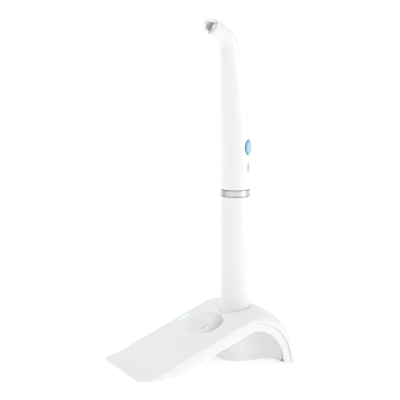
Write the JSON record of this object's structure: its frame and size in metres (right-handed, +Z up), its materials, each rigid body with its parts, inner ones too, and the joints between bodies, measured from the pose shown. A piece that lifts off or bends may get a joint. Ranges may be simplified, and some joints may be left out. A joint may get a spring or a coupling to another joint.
{
  "type": "curing light",
  "caption": "Cordless dental curing light: a slim round handpiece with a bent swivelling lamp head and a side button, standing in a wave-shaped charging base with a dished output meter.",
  "frame": {"origin": "on the floor under the centre of the whole object's outline", "axes": "+Z up along the handpiece, -Y towards the base's low toe and the lamp's tip, +X to the right of someone who faces the toe from in front"},
  "size_m": [0.077, 0.1436, 0.266],
  "materials": {
    "black_plastic": "satin black",
    "blue_button": "translucent pale blue, satin",
    "cell_wrap": "blue shrink wrap",
    "circuit_board": "green solder mask",
    "clear_lens": "clear, polished",
    "dark_rubber": "matt",
    "emitter": "dark amber, clear coat",
    "gold_contact": "gold-plated",
    "grey_plastic": "satin grey",
    "metal_board": "bare metal",
    "mint_light": "translucent mint",
    "mirror_cone": "polished",
    "satin_aluminium": "satin",
    "satin_steel": "satin",
    "white_plastic": "smooth white, lightly glossy"
  },
  "bodies": {
    "base": {"base_lower_shell": "white_plastic", "base_top_shell": "white_plastic", "charging_board": "circuit_board", "charging_module": "black_plastic", "charging_tub": "white_plastic", "charging_well": "white_plastic", "inlet_pin": "satin_steel", "meter_board": "circuit_board", "meter_sensor": "black_plastic", "meter_window": "clear_lens", "pin_barrel_1": "gold_contact", "pin_barrel_2": "gold_contact", "pin_spring_1": "satin_steel", "pin_spring_2": "satin_steel", "power_inlet": "black_plastic", "ramp_ballast": "satin_steel", "rubber_foot_1": "dark_rubber", "rubber_foot_2": "dark_rubber", "rubber_foot_3": "dark_rubber", "rubber_foot_4": "dark_rubber", "shell_screw_1": "satin_steel", "shell_screw_2": "satin_steel", "shell_screw_3": "satin_steel", "shell_screw_4": "satin_steel", "status_led": "mint_light", "status_light_guide": "mint_light", "tub_ballast": "satin_steel", "tub_plate": "white_plastic"},
    "grip": {"battery_board": "circuit_board", "battery_cell": "cell_wrap", "battery_spring": "satin_steel", "charge_pad_1": "gold_contact", "charge_pad_2": "gold_contact", "grip_cap": "grey_plastic", "grip_tube": "white_plastic", "jack_socket": "gold_contact", "socket_carrier": "black_plastic", "trim_ring": "satin_steel"},
    "head": {"button_seal": "grey_plastic", "button_switch": "black_plastic", "buzzer": "black_plastic", "driver_board": "circuit_board", "head_shell": "white_plastic", "heat_rod": "satin_aluminium", "indicator_led": "mint_light", "indicator_window": "grey_plastic", "jack_plug": "satin_steel", "led_board": "metal_board", "led_emitter": "emitter", "lens": "clear_lens", "lens_bezel": "grey_plastic", "plug_holder": "black_plastic", "reflector": "mirror_cone", "swivel_seal": "dark_rubber"},
    "button": {"power_button": "blue_button"},
    "left_contact": {"contact_pin_1": "gold_contact"},
    "right_contact": {"contact_pin_2": "gold_contact"}
  },
  "joints": [
    {"name": "lift_out", "type": "slide", "parent": "base", "child": "grip", "axis": [0, 0, 1], "range_m": [0, 0.06]},
    {"name": "head_swivel", "type": "hinge", "parent": "grip", "child": "head", "pos_m": [0, 0.02653, 0.1346], "axis": [0, 0, 1], "continuous": true},
    {"name": "button_press", "type": "slide", "parent": "head", "child": "button", "axis": [-0.8192, -0.5736, 0], "range_m": [0, 0.0008], "stiffness_N_per_m": 500, "springref_m": -0.0005},
    {"name": "left_contact_press", "type": "slide", "parent": "base", "child": "left_contact", "axis": [0, 0, -1], "range_m": [0, 0.0007], "stiffness_N_per_m": 200, "springref_m": -0.001, "deforming": ["pin_spring_1"]},
    {"name": "right_contact_press", "type": "slide", "parent": "base", "child": "right_contact", "axis": [0, 0, -1], "range_m": [0, 0.0007], "stiffness_N_per_m": 200, "springref_m": -0.001, "deforming": ["pin_spring_2"]}
  ]
}
